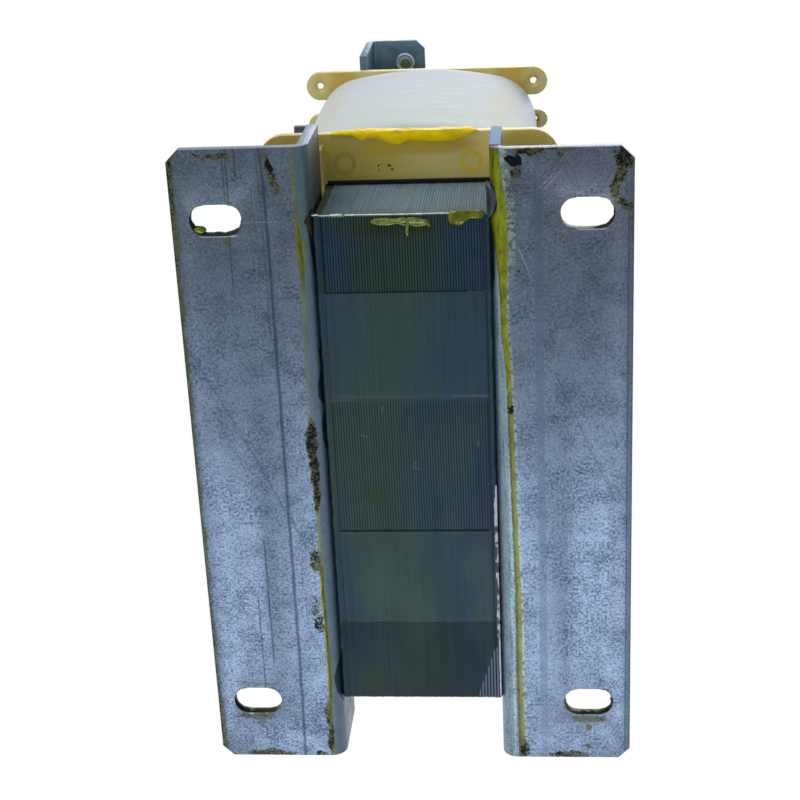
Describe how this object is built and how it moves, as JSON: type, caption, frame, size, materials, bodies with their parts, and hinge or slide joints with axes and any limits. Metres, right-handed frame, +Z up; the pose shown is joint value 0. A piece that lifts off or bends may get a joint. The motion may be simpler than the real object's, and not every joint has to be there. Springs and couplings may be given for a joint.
{
  "type": "line reactor",
  "caption": "Line reactor: laminated core with a taped coil on each limb, moulded bobbins, slotted angle feet, a terminal shelf on top and an earth tab at the end.",
  "frame": {"origin": "centre of the four foot slots, on the underside of the feet", "axes": "+Z up out of the mounting plate, +Y along the row of coils from the earth-tab end to the rear, +X across the stack of sheets, away from the terminal shelf"},
  "size_m": [0.0822, 0.126, 0.1161],
  "materials": {
    "galvanised_steel": "mottled zinc coating, dull",
    "core_sheet": "stacked electrical sheet under thin varnish",
    "pad_board": "pressed board",
    "bobbin_plastic": "cream moulded nylon with a little gloss",
    "winding_copper": "enamelled copper",
    "coil_tape": "white tape, slightly fibrous",
    "lead_sleeve": "sleeved wire, satin",
    "fastener_steel": "zinc plated",
    "strip_plastic": "moulded polyamide",
    "screw_brass": "plain brass, dulled"
  },
  "bodies": {
    "root": {"foot_left": "galvanised_steel", "foot_right": "galvanised_steel", "core_stack": "core_sheet", "top_yoke": "core_sheet", "gap_pad_front": "pad_board", "gap_pad_middle": "pad_board", "gap_pad_rear": "pad_board", "bobbin_front": "bobbin_plastic", "bobbin_middle": "bobbin_plastic", "bobbin_rear": "bobbin_plastic", "winding_front": "winding_copper", "winding_middle": "winding_copper", "winding_rear": "winding_copper", "tape_front": "coil_tape", "tape_middle": "coil_tape", "tape_rear": "coil_tape", "leads_front": "lead_sleeve", "leads_middle": "lead_sleeve", "leads_rear": "lead_sleeve", "bolt_bottom_front": "fastener_steel", "bolt_bottom_rear": "fastener_steel", "bolt_top_front": "fastener_steel", "bolt_top_rear": "fastener_steel", "nut_bottom_front": "fastener_steel", "nut_bottom_rear": "fastener_steel", "nut_top_front": "fastener_steel", "nut_top_rear": "fastener_steel", "washers_bottom": "fastener_steel", "washers_top": "fastener_steel", "spacer_washer": "fastener_steel", "terminal_shelf": "galvanised_steel", "terminal_strip": "strip_plastic", "terminal_clamps": "screw_brass", "terminal_screws": "fastener_steel", "strip_screws": "fastener_steel", "earth_bracket": "galvanised_steel", "earth_collar": "galvanised_steel", "earth_screw": "screw_brass"}
  },
  "joints": []
}
